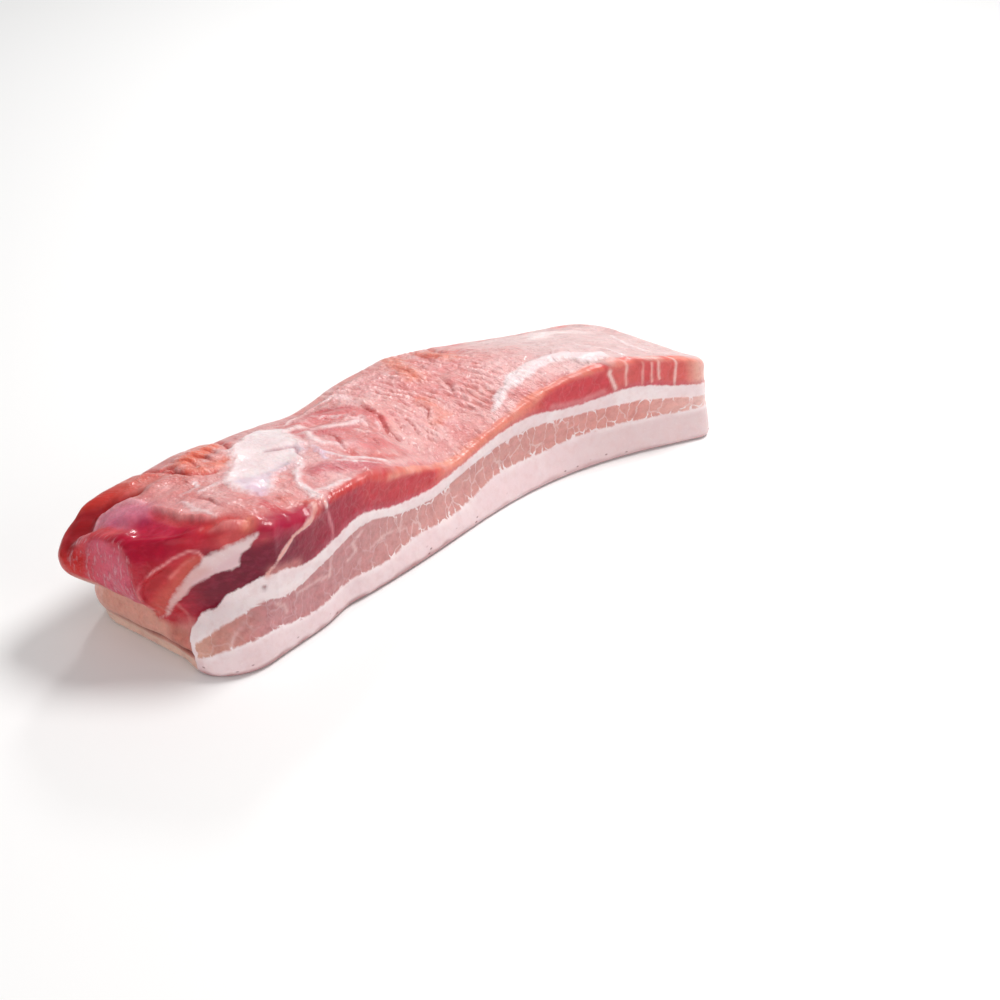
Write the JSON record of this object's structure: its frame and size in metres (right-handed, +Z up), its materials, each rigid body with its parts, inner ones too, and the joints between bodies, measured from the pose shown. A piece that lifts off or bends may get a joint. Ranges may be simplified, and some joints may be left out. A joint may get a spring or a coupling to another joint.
{
  "type": "pork belly slab",
  "caption": "Boneless raw pork belly slab, layered rind fat, pale lean, white fat seam and red lean, bent in plan, with an overhanging cut end and a wavy top.",
  "frame": {"origin": "middle of the box of the flat underside, on the surface that the slab lies on", "axes": "+X along the slab towards its thinner right end, +Y from the cut front that shows the layers to the back, +Z up"},
  "size_m": [0.3042, 0.1134, 0.0613],
  "materials": {
    "rind_fat": "moist white fat with a thin pinkish rind",
    "pale_lean": "moist pale brownish pink lean, cut across its fibres",
    "fat_seam": "moist white fat",
    "red_lean": "wet red lean with membrane and fat on its top"
  },
  "bodies": {
    "root": {"rind_fat": "rind_fat", "lower_lean": "pale_lean", "fat_seam": "fat_seam", "upper_lean": "red_lean"}
  },
  "joints": []
}
